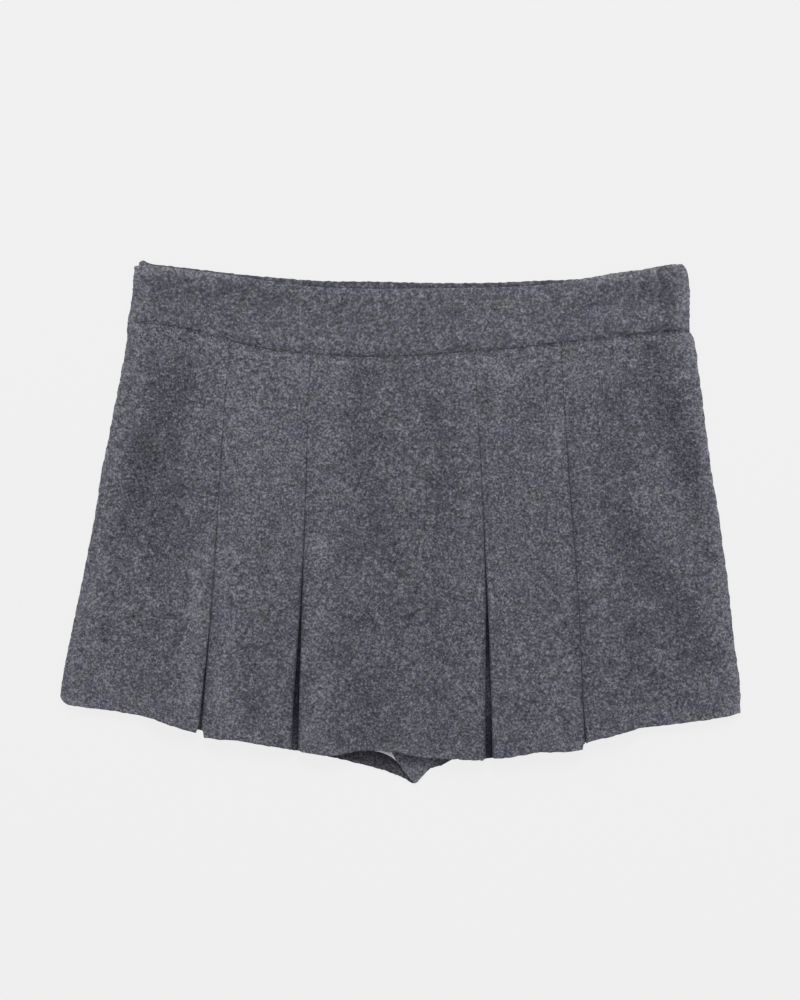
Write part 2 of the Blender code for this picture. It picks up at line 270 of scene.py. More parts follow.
def along_grid(points, axis):
    """Distance of each grid point along its row or column, from the first one."""
    step = np.linalg.norm(np.diff(points, axis=axis), axis=2)
    pad = np.zeros_like(np.take(step, [0], axis=axis))
    return np.concatenate((pad, np.cumsum(step, axis=axis)), axis=axis)


def grid_normals(points):
    """Unit normals of a grid: the cross product of its row and column directions."""
    normal = np.cross(np.gradient(points, axis=1), np.gradient(points, axis=0))
    least_length = 1e-12
    return normal / np.maximum(np.linalg.norm(normal, axis=2, keepdims=True), least_length)


def uneven_edges(points, edges, seed):
    """Free edges that wander a little in and out, as a sum of waves along each of them.

    The edges are the grid's hem, top, left and right; the wander fades away from the edge.
    """
    phases = np.random.default_rng(seed)
    points = points.copy()
    for edge in edges:
        axis = 0 if edge in ("hem", "top") else 1
        away = along_grid(points, axis)
        if edge in ("top", "right"):
            away = np.take(away, [-1], axis=axis) - away
        wander = np.zeros_like(away)
        for wave in EDGE_WAVES:
            turns = points[..., axis] / wave + phases.random()
            wander += EDGE_WANDER * np.sin(2 * np.pi * turns)
        points[..., 1 - axis] += wander * np.exp(-away / EDGE_REACH)
    return points


def make_wall(name, middle, thickness, extra=0.0, fences=None):
    """Closed cloth wall about a grid of middle points, hem row first.

    Each point goes half the thickness to either side along the normal. Near the border the
    thickness falls to nothing as a half circle does, so the edge is rounded, and both sides
    share the border's points. extra is more thickness on the upper side alone. fences are
    the lowest and highest x that each point may have, where two edges are pressed together.
    """
    rows, columns = middle.shape[:2]
    across = along_grid(middle, 1)
    up = along_grid(middle, 0)
    to_edge = np.minimum.reduce((across, across[:, -1:] - across, up, up[-1:] - up))
    radius = thickness / 2
    round_off = np.sqrt(np.clip(1 - (1 - np.clip(to_edge / radius, 0, 1)) ** 2, 0, 1))
    normal = grid_normals(middle)
    upper = middle + normal * ((radius + extra) * round_off)[..., None]
    lower = middle - normal * (radius * round_off)[..., None]
    if fences:
        for face in (upper, lower):
            face[..., 0] = np.clip(face[..., 0], *fences)
    top = np.arange(rows * columns).reshape(rows, columns)
    under = top.copy()
    inner = (rows - 2) * (columns - 2)
    under[1:-1, 1:-1] = rows * columns + np.arange(inner).reshape(rows - 2, columns - 2)
    points = np.concatenate((upper.reshape(-1, 3), lower[1:-1, 1:-1].reshape(-1, 3)))

    def quads(index, flip):
        corners = (index[:-1, :-1], index[:-1, 1:], index[1:, 1:], index[1:, :-1])
        faces = np.stack([corner.ravel() for corner in corners], axis=1)
        return faces[:, ::-1] if flip else faces

    faces = np.concatenate((quads(top, False), quads(under, True)))
    mesh = bpy.data.meshes.new(name)
    mesh.vertices.add(len(points))
    mesh.vertices.foreach_set("co", points.ravel())
    mesh.loops.add(faces.size)
    mesh.loops.foreach_set("vertex_index", faces.ravel())
    mesh.polygons.add(len(faces))
    mesh.polygons.foreach_set("loop_start", np.arange(len(faces)) * 4)
    mesh.polygons.foreach_set("loop_total", np.full(len(faces), 4))
    mesh.update(calc_edges=True)
    mesh.validate()
    mesh.shade_smooth()
    piece = bpy.data.objects.new(name, mesh)
    bpy.context.scene.collection.objects.link(piece)
    return piece


def crease_field(creases, x, y):
    """Depth and tone: each crease is a bell across its line, fading past its two ends."""
    depth = np.zeros_like(x)
    tone = np.zeros_like(x)
    for crease in creases:
        run_x = (crease.x2 - crease.x1) * MM
        run_y = (crease.y2 - crease.y1) * MM
        part = (x - crease.x1 * MM) * run_x + (y - crease.y1 * MM) * run_y
        part = np.clip(part / (run_x ** 2 + run_y ** 2), 0.0, 1.0)
        away = np.hypot(x - crease.x1 * MM - part * run_x, y - crease.y1 * MM - part * run_y)
        bell = np.exp(-(away / (crease.width * MM)) ** 2)
        depth += crease.depth * MM * bell
        tone += crease.tone * bell
    return depth, tone


def add_tone(piece, tone, depth=None, outside=None):
    """Tone, from the lie of the brushed nap and from painted light and shade, and painted
    shade as deep in a fold, at each point on both sides of a wall.

    outside is the tone on a lower side that is the garment's outside, with no painted fold shade.
    """
    depth = np.zeros_like(tone) if depth is None else depth
    below = (tone, depth) if outside is None else (outside, np.zeros_like(tone))
    for name, grid, under in zip(("nap_tone_and_painted_light", "painted_shade"), (tone, depth), below):
        values = np.concatenate((grid.ravel(), under[1:-1, 1:-1].ravel()))
        layer = piece.data.attributes.new(name, "FLOAT", "POINT")
        layer.data.foreach_set("value", values.astype(np.float32))


def shorts_half(side_name, inset, waist_inset, hem):
    """One leg's grid without its height, its columns from left to right.

    Its side lies within the garment's by one inset at the waist and the other below it.
    The columns are crowded toward the centre seam, where the crotch is, by a power.
    """
    share = 1 - shares_with_rims(SHORTS_ROWS, SHORTS_MEAN_LENGTH)[:, None]
    outward = -1 if side_name == "left_side" else 1
    inset = inset + (waist_inset - inset) * (1 - soft_step(share / WAIST_INSET_SHARE))
    side = line_x(side_name, share) - outward * inset
    centre = line_x("centre_seam", share) - outward * SEAM_PRESS
    even = shares_with_rims(SHORTS_COLUMNS, SHORTS_MEAN_WIDTH)
    x = side + (centre - side) * (1 - (1 - even) ** COLUMN_CROWDING)
    top_y = table_y(SEAM, x[-1]) - SEAM_GAP / 2
    y = top_y + (table_y(hem, x[0]) - top_y) * share
    if outward > 0:
        x = x[:, ::-1]
        y = y[:, ::-1]
    return x, y, share


# Wool flannel: fibres of several greys spun together, then milled and brushed to a nap.
# Scales are noise cells to the metre. A layer's share is what it adds to the nap's value,
# and the middle and light greys are reached at two marks of that value.
WOOL_DARK = (0.022, 0.022, 0.032, 1.0)
WOOL_MIDDLE = (0.088, 0.089, 0.108, 1.0)
WOOL_LIGHT = (0.275, 0.276, 0.315, 1.0)
# FOLD_SHADE is the colour that painted shade, in folds and under other layers, multiplies the
# cloth by.
FOLD_SHADE = (0.165, 0.165, 0.22, 1.0)
MIDDLE_MARK = 0.56
LIGHT_MARK = 1.20
SPECK_SCALE = 640.0
SPECK_RANGE = (0.25, 0.80)
SPECK_SHARE = 0.785
VALUE_SHIFT = -0.182
Curl = namedtuple("Curl", "scale width bend")
CURLS = (Curl(330.0, 0.10, 1.4), Curl(460.0, 0.12, 1.0))
CURL_SHARE = 0.365
CURL_ON_SPECKS = 1.22
CURL_ALONE = 0.245
CURL_HEIGHT = 0.33
Patch = namedtuple("Patch", "scale detail roughness share")
PATCHES = (
    Patch(230.0, 2.0, 0.6, 0.29),
    Patch(75.0, 3.0, 0.6, 0.14),
    Patch(22.0, 2.0, 0.5, 0.05),
)
PATCH_RANGE = (0.30, 0.70)
DYE_SCALE = 92.0
PLAIN_DYE = (1.004, 0.999, 1.008, 1.0)
GREENER_DYE = (0.985, 1.004, 0.910, 1.0)
GREENER_RANGE = (0.60, 0.68)
BLUER_DYE = (0.978, 1.002, 1.035, 1.0)
BLUER_RANGE = (0.38, 0.30)
NAP_DEPTH = 0.53 * MM

# The sockets of a colour mix: its two colours, and what comes out.
FIRST_COLOUR = 6
SECOND_COLOUR = 7
MIXED_COLOUR = 2


def nap_group():
    """Colour and height of heathered wool: specks, curled fibres and cloudy patches.

    The sum of the layers, with the tone added, runs from the dark fibres' grey through
    the middle to the light one; the tone holds the lie of the nap and painted light and
    shade. Fineness scales the specks and the curls, and contrast scales the sum about its
    middle. A few small patches are dyed a little greener or bluer. Where painted shade is
    asked for, as deep in a fold, the colour is multiplied by the fold shade colour.
    """
    group = bpy.data.node_groups.new("heathered_wool", "ShaderNodeTree")
    sockets = group.interface
    for name, kind in (("Dark", "Color"), ("Middle", "Color"), ("Light", "Color"),
                       ("Fold Shade", "Color"), ("Fineness", "Float"), ("Contrast", "Float"),
                       ("Tone", "Float"), ("Painted Shade", "Float")):
        sockets.new_socket(name, in_out="INPUT", socket_type="NodeSocket" + kind)
    sockets.new_socket("Color", in_out="OUTPUT", socket_type="NodeSocketColor")
    sockets.new_socket("Height", in_out="OUTPUT", socket_type="NodeSocketFloat")
    nodes = group.nodes
    link = group.links.new
    enter = nodes.new("NodeGroupInput")
    leave = nodes.new("NodeGroupOutput")
    place = nodes.new("ShaderNodeTexCoord")

    def feed(socket, value):
        if hasattr(value, "is_output"):
            link(value, socket)
        else:
            socket.default_value = value

    def noise(scale, detail, roughness, distortion=0.0):
        node = nodes.new("ShaderNodeTexNoise")
        feed(node.inputs["Scale"], scale)
        node.inputs["Detail"].default_value = detail
        node.inputs["Roughness"].default_value = roughness
        node.inputs["Distortion"].default_value = distortion
        link(place.outputs["Object"], node.inputs["Vector"])
        return node.outputs["Fac"]

    def maths(operation, *values):
        node = nodes.new("ShaderNodeMath")
        node.operation = operation
        for socket, value in zip(node.inputs, values):
            feed(socket, value)
        return node.outputs[0]

    def spread(value, low, high):
        node = nodes.new("ShaderNodeMapRange")
        node.inputs["From Min"].default_value = low
        node.inputs["From Max"].default_value = high
        link(value, node.inputs["Value"])
        return node.outputs["Result"]

    def blend(share, first, second, kind="MIX"):
        node = nodes.new("ShaderNodeMix")
        node.data_type = "RGBA"
        node.blend_type = kind
        feed(node.inputs["Factor"], share)
        feed(node.inputs[FIRST_COLOUR], first)
        feed(node.inputs[SECOND_COLOUR], second)
        return node.outputs[MIXED_COLOUR]

    def fine(scale):
        return maths("MULTIPLY", enter.outputs["Fineness"], scale)

    def curling_lines(curl):
        """Thin curling lines: where a bent noise passes through its middle value."""
        bent = noise(fine(curl.scale), 0.0, 0.5, curl.bend)
        away = maths("ABSOLUTE", maths("SUBTRACT", bent, 0.5))
        return spread(maths("SUBTRACT", curl.width, away), 0.0, curl.width)

    specks = spread(noise(fine(SPECK_SCALE), 1.5, 0.6, 0.4), *SPECK_RANGE)
    fibres = maths("MAXIMUM", curling_lines(CURLS[0]), curling_lines(CURLS[1]))
    lit = maths("MULTIPLY_ADD", specks, CURL_ON_SPECKS, CURL_ALONE)
    fibres = maths("MULTIPLY", fibres, lit)
    value = maths("MULTIPLY_ADD", specks, SPECK_SHARE, VALUE_SHIFT)
    value = maths("MULTIPLY_ADD", fibres, CURL_SHARE, value)
    for patch in PATCHES:
        cloud = spread(noise(patch.scale, patch.detail, patch.roughness), *PATCH_RANGE)
        value = maths("MULTIPLY_ADD", cloud, patch.share, value)
    from_middle = maths("SUBTRACT", value, 0.5)
    value = maths("MULTIPLY_ADD", from_middle, enter.outputs["Contrast"], 0.5)
    value = maths("ADD", value, enter.outputs["Tone"])
    to_middle = spread(value, 0.0, MIDDLE_MARK)
    low = blend(to_middle, enter.outputs["Dark"], enter.outputs["Middle"])
    colour = blend(spread(value, MIDDLE_MARK, LIGHT_MARK), low, enter.outputs["Light"])

    dye = noise(DYE_SCALE, 1.0, 0.5)
    tint = blend(spread(dye, *GREENER_RANGE), PLAIN_DYE, GREENER_DYE)
    tint = blend(spread(dye, *BLUER_RANGE), tint, BLUER_DYE)
    colour = blend(1.0, colour, tint, "MULTIPLY")
    shaded = blend(1.0, colour, enter.outputs["Fold Shade"], "MULTIPLY")
    link(blend(enter.outputs["Painted Shade"], colour, shaded), leave.inputs["Color"])
    link(maths("MULTIPLY_ADD", fibres, CURL_HEIGHT, specks), leave.inputs["Height"])
    return group


heathered_wool = nap_group()


def wool_material(name, nap_depth, fineness, contrast):
    """Matt flannel with a faint sheen; the nap is raised by a bump of the given depth.

    Fineness below 1 makes the specks and curls coarser, and contrast below 1 makes the
    greys more even.
    """
    material, tree, shader = new_material(name)
    wool = tree.nodes.new("ShaderNodeGroup")
    wool.node_tree = heathered_wool
    wool.inputs["Dark"].default_value = WOOL_DARK
    wool.inputs["Middle"].default_value = WOOL_MIDDLE
    wool.inputs["Light"].default_value = WOOL_LIGHT
    wool.inputs["Fold Shade"].default_value = FOLD_SHADE
    wool.inputs["Fineness"].default_value = fineness
    wool.inputs["Contrast"].default_value = contrast
    for attribute, socket in (("nap_tone_and_painted_light", "Tone"), ("painted_shade", "Painted Shade")):
        reader = tree.nodes.new("ShaderNodeAttribute")
        reader.attribute_name = attribute
        tree.links.new(reader.outputs["Fac"], wool.inputs[socket])
    bump = tree.nodes.new("ShaderNodeBump")
    bump.inputs["Strength"].default_value = 0.6
    bump.inputs["Distance"].default_value = nap_depth
    tree.links.new(wool.outputs["Height"], bump.inputs["Height"])
    tree.links.new(bump.outputs["Normal"], shader.inputs["Normal"])
    tree.links.new(wool.outputs["Color"], shader.inputs["Base Color"])
    shader.inputs["Roughness"].default_value = 0.95
    shader.inputs["Specular IOR Level"].default_value = 0.15
    shader.inputs["Sheen Weight"].default_value = 0.12
    shader.inputs["Sheen Roughness"].default_value = 0.5
    shader.inputs["Sheen Tint"].default_value = (0.75, 0.75, 0.80, 1.0)
    return material


flannel = wool_material("wool_flannel", NAP_DEPTH, fineness=1.0, contrast=1.0)


def finish_cloth(piece, node, material):
    """Material, body, replaced node and slot of a finished cloth piece."""
    piece.data.materials.append(material)
    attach(piece, "root")
    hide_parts(node)


def make_back(name, side_name, inside_painted_shade, seed):
    """Flat panel with painted shade inside, darkest right under the front leg's edge and
    lighter along its hem turn.

    The turn is a low step of extra thickness along the hem, inside. The outside, toward the
    table, has none of that painted shade, only painted shade in its creases and along the
    centre back seam, and its creases rise a little off the table.
    """
    x, y, share = shorts_half(side_name, BACK_INSET, BACK_WAIST_INSET, BACK_HEM)
    trough, crease_tone = crease_field(BACK_CREASES, x, y)
    middle = np.stack((x, y, CLOTH / 2 + np.minimum(trough, MOST_TROUGH)), axis=2)
    middle = uneven_edges(middle, ("hem",), seed)
    above_hem = y - table_y(BACK_HEM, x[0])
    turned = 1 - soft_step((above_hem - HEM_TURN_WIDTH) / HEM_TURN_STEP)
    piece = make_wall(name, middle, CLOTH, HEM_TURN_HEIGHT * turned)
    # Painted shade on the inside: darkest under the front leg's edge, lighter along the hem turn
    # beside the crotch.
    below_front = table_y(FRONT_HEM, x[0]) - y
    beside_crotch = soft_step((x - CRESCENT_LEFT_X) / CRESCENT_RUN)
    lighter = soft_step(below_front / CRESCENT_HEIGHT) * beside_crotch
    inside = inside_painted_shade * (1 - HEM_TURN_LIGHTER * lighter)
    # Painted shade on the outside, along the centre back seam and in the creases.
    from_seam = x - line_x("centre_seam", share)
    seam_tone = BACK_SEAM_SHADE * np.exp(-(from_seam / BACK_SEAM_RUN) ** 2)
    add_tone(piece, np.zeros_like(x), inside, OUTSIDE_TONE - crease_tone - seam_tone)
    return piece


back_left = make_back("shorts_back_left_cloth", "left_side", INSIDE_PAINTED_SHADE, 11)
finish_cloth(back_left, "shorts_back_left", flannel)
back_right = make_back("shorts_back_right_cloth", "right_side", RIGHT_INSIDE_PAINTED_SHADE, 12)
finish_cloth(back_right, "shorts_back_right", flannel)


# --- Fronts of the shorts ---------------------------------
# Two panels of the same flannel on the backs, joined by a centre front seam. The left leg's
# hem gapes beside the crotch, which ends in a small point below the skirt.

FRONT_BED = CLOTH + LAYER_GAP
FRONT_INSET = 4.2 * MM
FRONT_WAIST_INSET = 2.4 * MM
GAPE_CENTRE_X = -18 * MM
GAPE_HALF_WIDTH = 26 * MM
GAPE_HEIGHT = 2.6 * MM
GAPE_FROM = 0.80
POINT_PAINTED_LIGHT = 0.16
POINT_TOP_Y = -150 * MM
POINT_RUN = 12 * MM


def make_front(name, side_name, seed):
    """The left front rises in a smooth hump at the gape, the right one lies flat."""
    x, y, share = shorts_half(side_name, FRONT_INSET, FRONT_WAIST_INSET, FRONT_HEM)
    z = np.full_like(x, FRONT_BED + CLOTH / 2)
    if side_name == "left_side":
        rise = soft_step((share - GAPE_FROM) / (1 - GAPE_FROM))
        z = z + GAPE_HEIGHT * hump((x - GAPE_CENTRE_X) / GAPE_HALF_WIDTH) * rise
    middle = uneven_edges(np.stack((x, y, z), axis=2), ("hem",), seed)
    piece = make_wall(name, middle, CLOTH)
    # Painted light toward the crotch point, which lies in the shade of the skirt's hem.
    add_tone(piece, POINT_PAINTED_LIGHT * soft_step((POINT_TOP_Y - y) / POINT_RUN))
    return piece


front_left = make_front("shorts_front_left_cloth", "left_side", 21)
finish_cloth(front_left, "shorts_front_left", flannel)
front_right = make_front("shorts_front_right_cloth", "right_side", 22)
finish_cloth(front_right, "shorts_front_right", flannel)


# --- Lining edge ------------------------------------------
# A narrow strip of pale lining shows at the left leg opening, above the gaping hem. It is
# a fine ribbed cloth, and its right end is cut on a slant.

LINING = 0.6 * MM
LINING_LEFT_X = -24 * MM
LINING_RIGHT_X = -3.4 * MM
LINING_SLANT = 4.9 * MM
LINING_WIDTH = 6 * MM
LINING_SETBACK = 0.3 * MM
LINING_LIFT = 0.45 * MM
LINING_COLUMNS = 110
LINING_ROWS = 14
RIB_PITCH = 1.3 * MM
RIB_HEIGHT = 0.10 * MM
LINING_DARK = (0.74, 0.74, 0.80, 1.0)
LINING_LIGHT = (0.94, 0.94, 1.0, 1.0)
WEAVE_SCALE = 900.0
WEAVE_DEPTH = 0.1 * MM


def make_lining():
    """Strip along the hem's curve, with ribs that rise as a cosine along its length."""
    up = shares_with_rims(LINING_ROWS, LINING_WIDTH)[:, None]
    along = shares_with_rims(LINING_COLUMNS, LINING_RIGHT_X - LINING_LEFT_X)
    right = LINING_RIGHT_X - LINING_SLANT * up
    x = LINING_LEFT_X + (right - LINING_LEFT_X) * along
    y = table_y(FRONT_HEM, x) + LINING_SETBACK + LINING_WIDTH * up
    gape = GAPE_HEIGHT * hump((x - GAPE_CENTRE_X) / GAPE_HALF_WIDTH)
    rib = RIB_HEIGHT * np.cos(2 * np.pi * x / RIB_PITCH)
    z = FRONT_BED + CLOTH + LINING_LIFT + gape + rib
    return make_wall("lining_edge_cloth", np.stack((x, y, z), axis=2), LINING)


def lining_material():
    """Smooth pale cloth with a fine uneven weave in its colour and in a shallow bump."""
    material, tree, shader = new_material("pale_lining")
    place = tree.nodes.new("ShaderNodeTexCoord")
    weave = tree.nodes.new("ShaderNodeTexNoise")
    weave.inputs["Scale"].default_value = WEAVE_SCALE
    weave.inputs["Detail"].default_value = 2.0
    tree.links.new(place.outputs["Object"], weave.inputs["Vector"])
    mix = tree.nodes.new("ShaderNodeMix")
    mix.data_type = "RGBA"
    mix.inputs[FIRST_COLOUR].default_value = LINING_DARK
    mix.inputs[SECOND_COLOUR].default_value = LINING_LIGHT
    tree.links.new(weave.outputs["Fac"], mix.inputs["Factor"])
    tree.links.new(mix.outputs[MIXED_COLOUR], shader.inputs["Base Color"])
    bump = tree.nodes.new("ShaderNodeBump")
    bump.inputs["Distance"].default_value = WEAVE_DEPTH
    tree.links.new(weave.outputs["Fac"], bump.inputs["Height"])
    tree.links.new(bump.outputs["Normal"], shader.inputs["Normal"])
    shader.inputs["Roughness"].default_value = 0.7
    return material


lining = make_lining()
finish_cloth(lining, "lining_edge_left", lining_material())


# --- Skirt front ------------------------------------------
# One panel of flannel with four inverted pleats, sewn flat into the waist seam and pressed.
# The slits between the faces open towards the hem and show the underlays, dark in their
# real shade and in painted shade.

SKIRT_BED = FRONT_BED + CLOTH + LAYER_GAP

# A pleat has its line, half its slit in mm at each of the shares, the y of its underlay's
# hem, how much more painted shade its shut slit gets at SHADE_SHARE, and where and how
# much its painted shade pales.
Pleat = namedtuple("Pleat", "line slit underlay_hem_y shade pale_share pale")
SLIT_SHARES = (0.0, 0.35, 0.6, 0.7, 0.8, 0.9, 1.0)
PLEATS = (
    Pleat("pleat_1", (-0.90, -0.60, -0.28, -0.10, 0.26, 0.58, 0.90), -142.3, 0.0, 1.0, 0.30),
    Pleat("pleat_2", (-0.90, -0.30, 0.38, 0.85, 1.38, 1.95, 2.10), -155.9, 0.0, 1.0, 0.42),
    Pleat("pleat_3", (-0.90, -0.20, 0.52, 1.08, 1.60, 2.15, 2.25), -161.6, 0.0, 0.84, 0.33),
    Pleat("pleat_4", (-0.80, -0.40, -0.22, -0.12, -0.03, 0.06, 0.22), -151.1, 0.44, 1.0, 0),
)
PLEAT_DEPTH_WAIST = 17 * MM
PLEAT_DEPTH_HEM = 22 * MM
LAYER_STEP_WAIST = 1.6 * MM
LAYER_STEP_HEM = 2.5 * MM
LAYER_STEP_POWER = 1.5
FOLD_SIDES = 6
RETURN_POINTS = 2
UNDERLAY_POINTS = 8
PRESSED_APART = 0.02 * MM

# The hem of each face, a row for a face: y in mm at even steps across it.
FACE_HEMS = (
    (-124.6, -126.8, -128.4, -131.1, -134.1, -139.4, -144.1),
    (-146.9, -148.4, -148.8, -150.2, -152.0, -153.4, -155.1),
    (-156.8, -159.6, -156.3, -156.8, -160.8, -161.8, -162.9),
    (-161.6, -160.6, -158.9, -157.2, -157.1, -156.8, -155.6),
    (-149.9, -145.9, -141.1, -139.1, -136.9, -134.5, -130.9),
)
HEM_SHARES = np.linspace(0.0, 1.0, len(FACE_HEMS[0]))
FACE_COLUMNS = (32, 24, 56, 26, 40)
FACE_MEAN_WIDTH = 75 * MM
FOLD_RIMS_LEFT_OUT = 2
HIDDEN_HEM_TUCK = 1 * MM
SKIRT_ROWS = 108
SKIRT_MEAN_LENGTH = 270 * MM

# Beyond its pleats' folds a face falls to the shorts. The middle one is held up by the
# gaping leg under it, and the panel is flat and held down at its side seams.
RAMP_START = 3 * MM
RAMP_LENGTH = 14 * MM
LIFT_CENTRE_X = -14 * MM
LIFT_HALF_WIDTH = 46 * MM
LIFT_LEVEL = 0.9
LIFT_FROM = 0.60
LIFT_POWER = 0.5
SIDE_SEAM_FLAT = 1.2 * MM
SIDE_SEAM_TURN = 2.4 * MM
SIDE_SEAM_HOLD = 0.75
CORNER_RADIUS = 6.5 * MM
CORNER_REACH = 3 * CORNER_RADIUS
NOTCH_INSET = 1.8 * MM
NOTCH_HEIGHT = 6 * MM
NOTCH_REACH = 5 * NOTCH_INSET

# How far the two sides stray from their lines, toward +X: rows of y and x in mm.
LEFT_STRAY = (
    (-124, -1.6), (-114, -1.5), (-103, -0.9), (-92, -0.3), (-80, 0.1), (-60, 0),
    (-37, 0.1), (-15, 0.4), (-4, 0.7), (7, 0.65), (18, 0.5), (28, 0), (39, -0.1),
    (50, 0.3), (61, 0.2), (72, -0.55), (83, -1), (94, -1.35), (105, -1.5), (116, -0.9),
    (127, -0.4), (138, -0.4), (149, 0.6), (160, 0.45), (170, 0), (178, 0),
)
RIGHT_STRAY = (
    (-124, 0.3), (-114, 0.6), (-103, 0.15), (-92, -0.7), (-81, -1.1), (-70, -0.9),
    (-59, -0.5), (-48, -0.3), (-37, 0), (-15, 0), (-4, 0.45), (7, 0.65), (18, 0.5),
    (28, 0.2), (39, 0.15), (50, 0.3), (61, 0.05), (72, -0.25), (83, -0.25), (94, -0.55),
    (105, -0.65), (116, 0.2), (127, 0.1), (138, -0.3), (149, 0.5), (160, 1),
    (170, 0.3), (178, 0.3),
)
STRAY_REACH = 12 * MM

# At the waist seam the panel rises to the band's edge and is tucked a little under it.
WAIST_TUCK = 1 * MM
WAIST_SEAM_Z = 4.1 * MM
WAIST_SEAM_RISE = 1.6 * MM
WAIST_SIDE_RUN = 16 * MM
WAIST_RUN = 15 * MM
WAIST_DIP = 0.7 * MM
WAIST_DIP_RUN = 2.2 * MM
WAIST_DIP_ABOVE = 0.5 * MM

# The painted shade at the seam fades toward the left, where the seam rises. Slits get
# painted shade where they are shut, unevenly, and full painted shade where they open.
FADE_LEFT_X = -174 * MM
FADE_RUN = 20 * MM
FADE_RISE = 0.6 * MM
FADE_RISE_RUN = 8 * MM
SEAM_SHADE = 0.24
SEAM_SHADE_RUN = 1.7 * MM
SEAM_SHADE_EVEN = 0.65
SEAM_SHADE_WAVES = (4.3 * MM, 9.1 * MM)
SHUT_DEPTH = 0.32
SHUT_EVEN = 0.6
SHUT_TURNS = 75.0
SHADE_SHARE = 0.42
SHADE_RUN = 0.30
PALE_RUN = 0.13
OPEN_SLIT = 0.9 * MM
LEFT_TURN_POWER = 0.6
RIGHT_TURN_POWER = 1.2

# Painted highlights make the cloth paler toward the edges. Each row is a distance from
# one, in mm, and how much paler.
SKIRT_TONE = 0.039
LEFT_PAINTED_SHEEN = ((0, 0.19), (3, 0.12), (9, 0.095), (15, 0.05), (22, 0))
RIGHT_PAINTED_SHEEN = ((0, 0.24), (3, 0.16), (7, 0.09), (11, 0.04), (15, 0))
HEM_PAINTED_SHEEN = ((0, 0.08), (4, 0.045), (10, 0))
WAIST_PAINTED_SHEEN = ((0, 0.04), (18, 0.03), (34, 0))

# The panel's own creases, in the columns that the backs' creases have.
SKIRT_CREASES = crease_rows(
    (-152, 98, -172, 42, 16, 1.3, 0.12), (-172, 42, -187, -1, 15, 1.4, 0.13),
    (-153, 18, -168, -30, 11, 0.9, 0.11), (-137, -25, -144, -128, 5.5, -0.9, -0.17),
    (-122, -20, -121, -135, 7, -0.4, -0.10), (-204, -95, -206, -108, 12, -0.5, -0.06),
    (-215, -112, -150, -126, 12, -0.3, -0.06), (-101, -100, -101, -138, 9, 0.7, 0.07),
    (-100, 90, -92, 30, 28, -0.2, -0.06), (-30, 90, -21, -12, 12, 0.8, 0.10),
    (-14, 96, 22, 76, 14, 0.5, 0.06), (-24, 109, 10, 107, 7, -0.1, -0.04),
    (27, 58, 30, -15, 12, 0.8, 0.10), (5, -18, 14, -76, 20, 0.4, 0.06),
    (-38, -62, -40, -90, 11, 0.4, 0.06), (-21, -115, -26, -152, 15, 0.7, 0.09),
    (30, -120, 33, -135, 10, 0.3, 0.05), (-45, 112, -50, 42, 5, -0.4, -0.07),
    (-55, -15, -57, -145, 7, -0.3, -0.09), (-70, -45, -74, -148, 1.6, 0, 0.12),
    (57, -45, 57, -150, 1.6, 0, 0.12), (66, 95, 64, 10, 5, -0.4, -0.06),
    (45, 108, 72, 100, 9, -0.3, -0.05), (106, 92, 107, 28, 5, -0.4, -0.09),
    (112, 110, 128, 88, 10, -0.3, -0.06), (114.8, 26, 120.4, -33, 1.1, 0.2, 0.25),
    (112.2, 60, 114.6, 26, 1, 0.1, 0.10), (116, 36, 120, -25, 4, 0.5, 0.07),
    (119.9, -33, 122.5, -90, 1.1, 0.1, 0.20), (118, -48, 118, -88, 4, 0.2, 0.09),
    (122, -40, 127, -140, 4, 0.4, 0.10), (110, -60, 116, -120, 4, -0.3, -0.05),
    (145, 82, 152, 42, 13, 0.5, 0.07), (168, 112, 184, 76, 11, 1.2, 0.12),
    (184, 76, 196, 37, 11, 1.4, 0.15), (196, 37, 205, 5, 8, 1.1, 0.12),
    (143, 24, 158, -12, 10, 0.9, 0.09), (158, -12, 171, -40, 13, 0.9, 0.08),
    (171, -40, 190, -58, 11, 1, 0.09), (190, -58, 212, -96, 9, 0.9, 0.10),
    (161, -75, 160, -112, 14, 0.5, 0.07), (164, 49, 191, -19, 9, -0.7, -0.05),
    (150, -128, 218, -128, 9, -0.3, -0.06), (184, -116, 212, -116, 8, -0.1, -0.05),
    (184, -70, 191, -84, 7, 0.2, 0.06), (145, -6, 149, -26, 9, 0.3, 0.08),
    (166, 72, 168, 58, 8, 0.2, 0.07), (-139, -6, -142, -26, 9, 0.2, 0.06),
    (-120, -34, -106, -60, 10, -0.2, -0.05), (-18, -68, -16, -88, 9, 0.2, 0.05),
    (-10, -124, -2, -145, 10, 0.1, 0.04), (-84, -140, -56, -142, 8, -0.1, -0.05),
    (84, -140, 106, -138, 7, -0.1, -0.04), (-122, 52, -118, 40, 7, -0.1, -0.05),
    (42, 72, 44, 58, 8, -0.1, -0.04), (-116.7, 120, -118.3, 102, 0.9, 0, 0.14),
    (-63.2, 92, -64, 64, 0.9, 0, 0.10), (-145, 131.2, -140.4, 130, 1.2, 0, 0.16),
    (176, 129, 188, 129.6, 1.1, 0, 0.22),
)
PUFF_HEIGHT = 1.5 * MM
PUFF_RUN_X = 9 * MM
PUFF_RUN_TOP = 7 * MM


def slit_half_width(pleat, share):
    """Half the slit between two faces; below zero, the folds are pressed together."""
    return curve_through(SLIT_SHARES, pleat.slit, share) * MM


def layer_step(share):
    """Height from the middle of one folded layer to the next, greater toward the hem."""
    return LAYER_STEP_WAIST + (LAYER_STEP_HEM - LAYER_STEP_WAIST) * share ** LAYER_STEP_POWER


def fold_centres(share):
    """x of the fold at each face's left and right edge, on the axis of its turn."""
    reach = layer_step(share) / 2 + CLOTH / 2
    lefts = [line_x("left_side", share)]
    rights = []
    for pleat in PLEATS:
        middle = line_x(pleat.line, share)
        open_half = slit_half_width(pleat, share)
        rights.append(middle - open_half - reach)
        lefts.append(middle + open_half + reach)
    rights.append(line_x("right_side", share))
    return lefts, rights


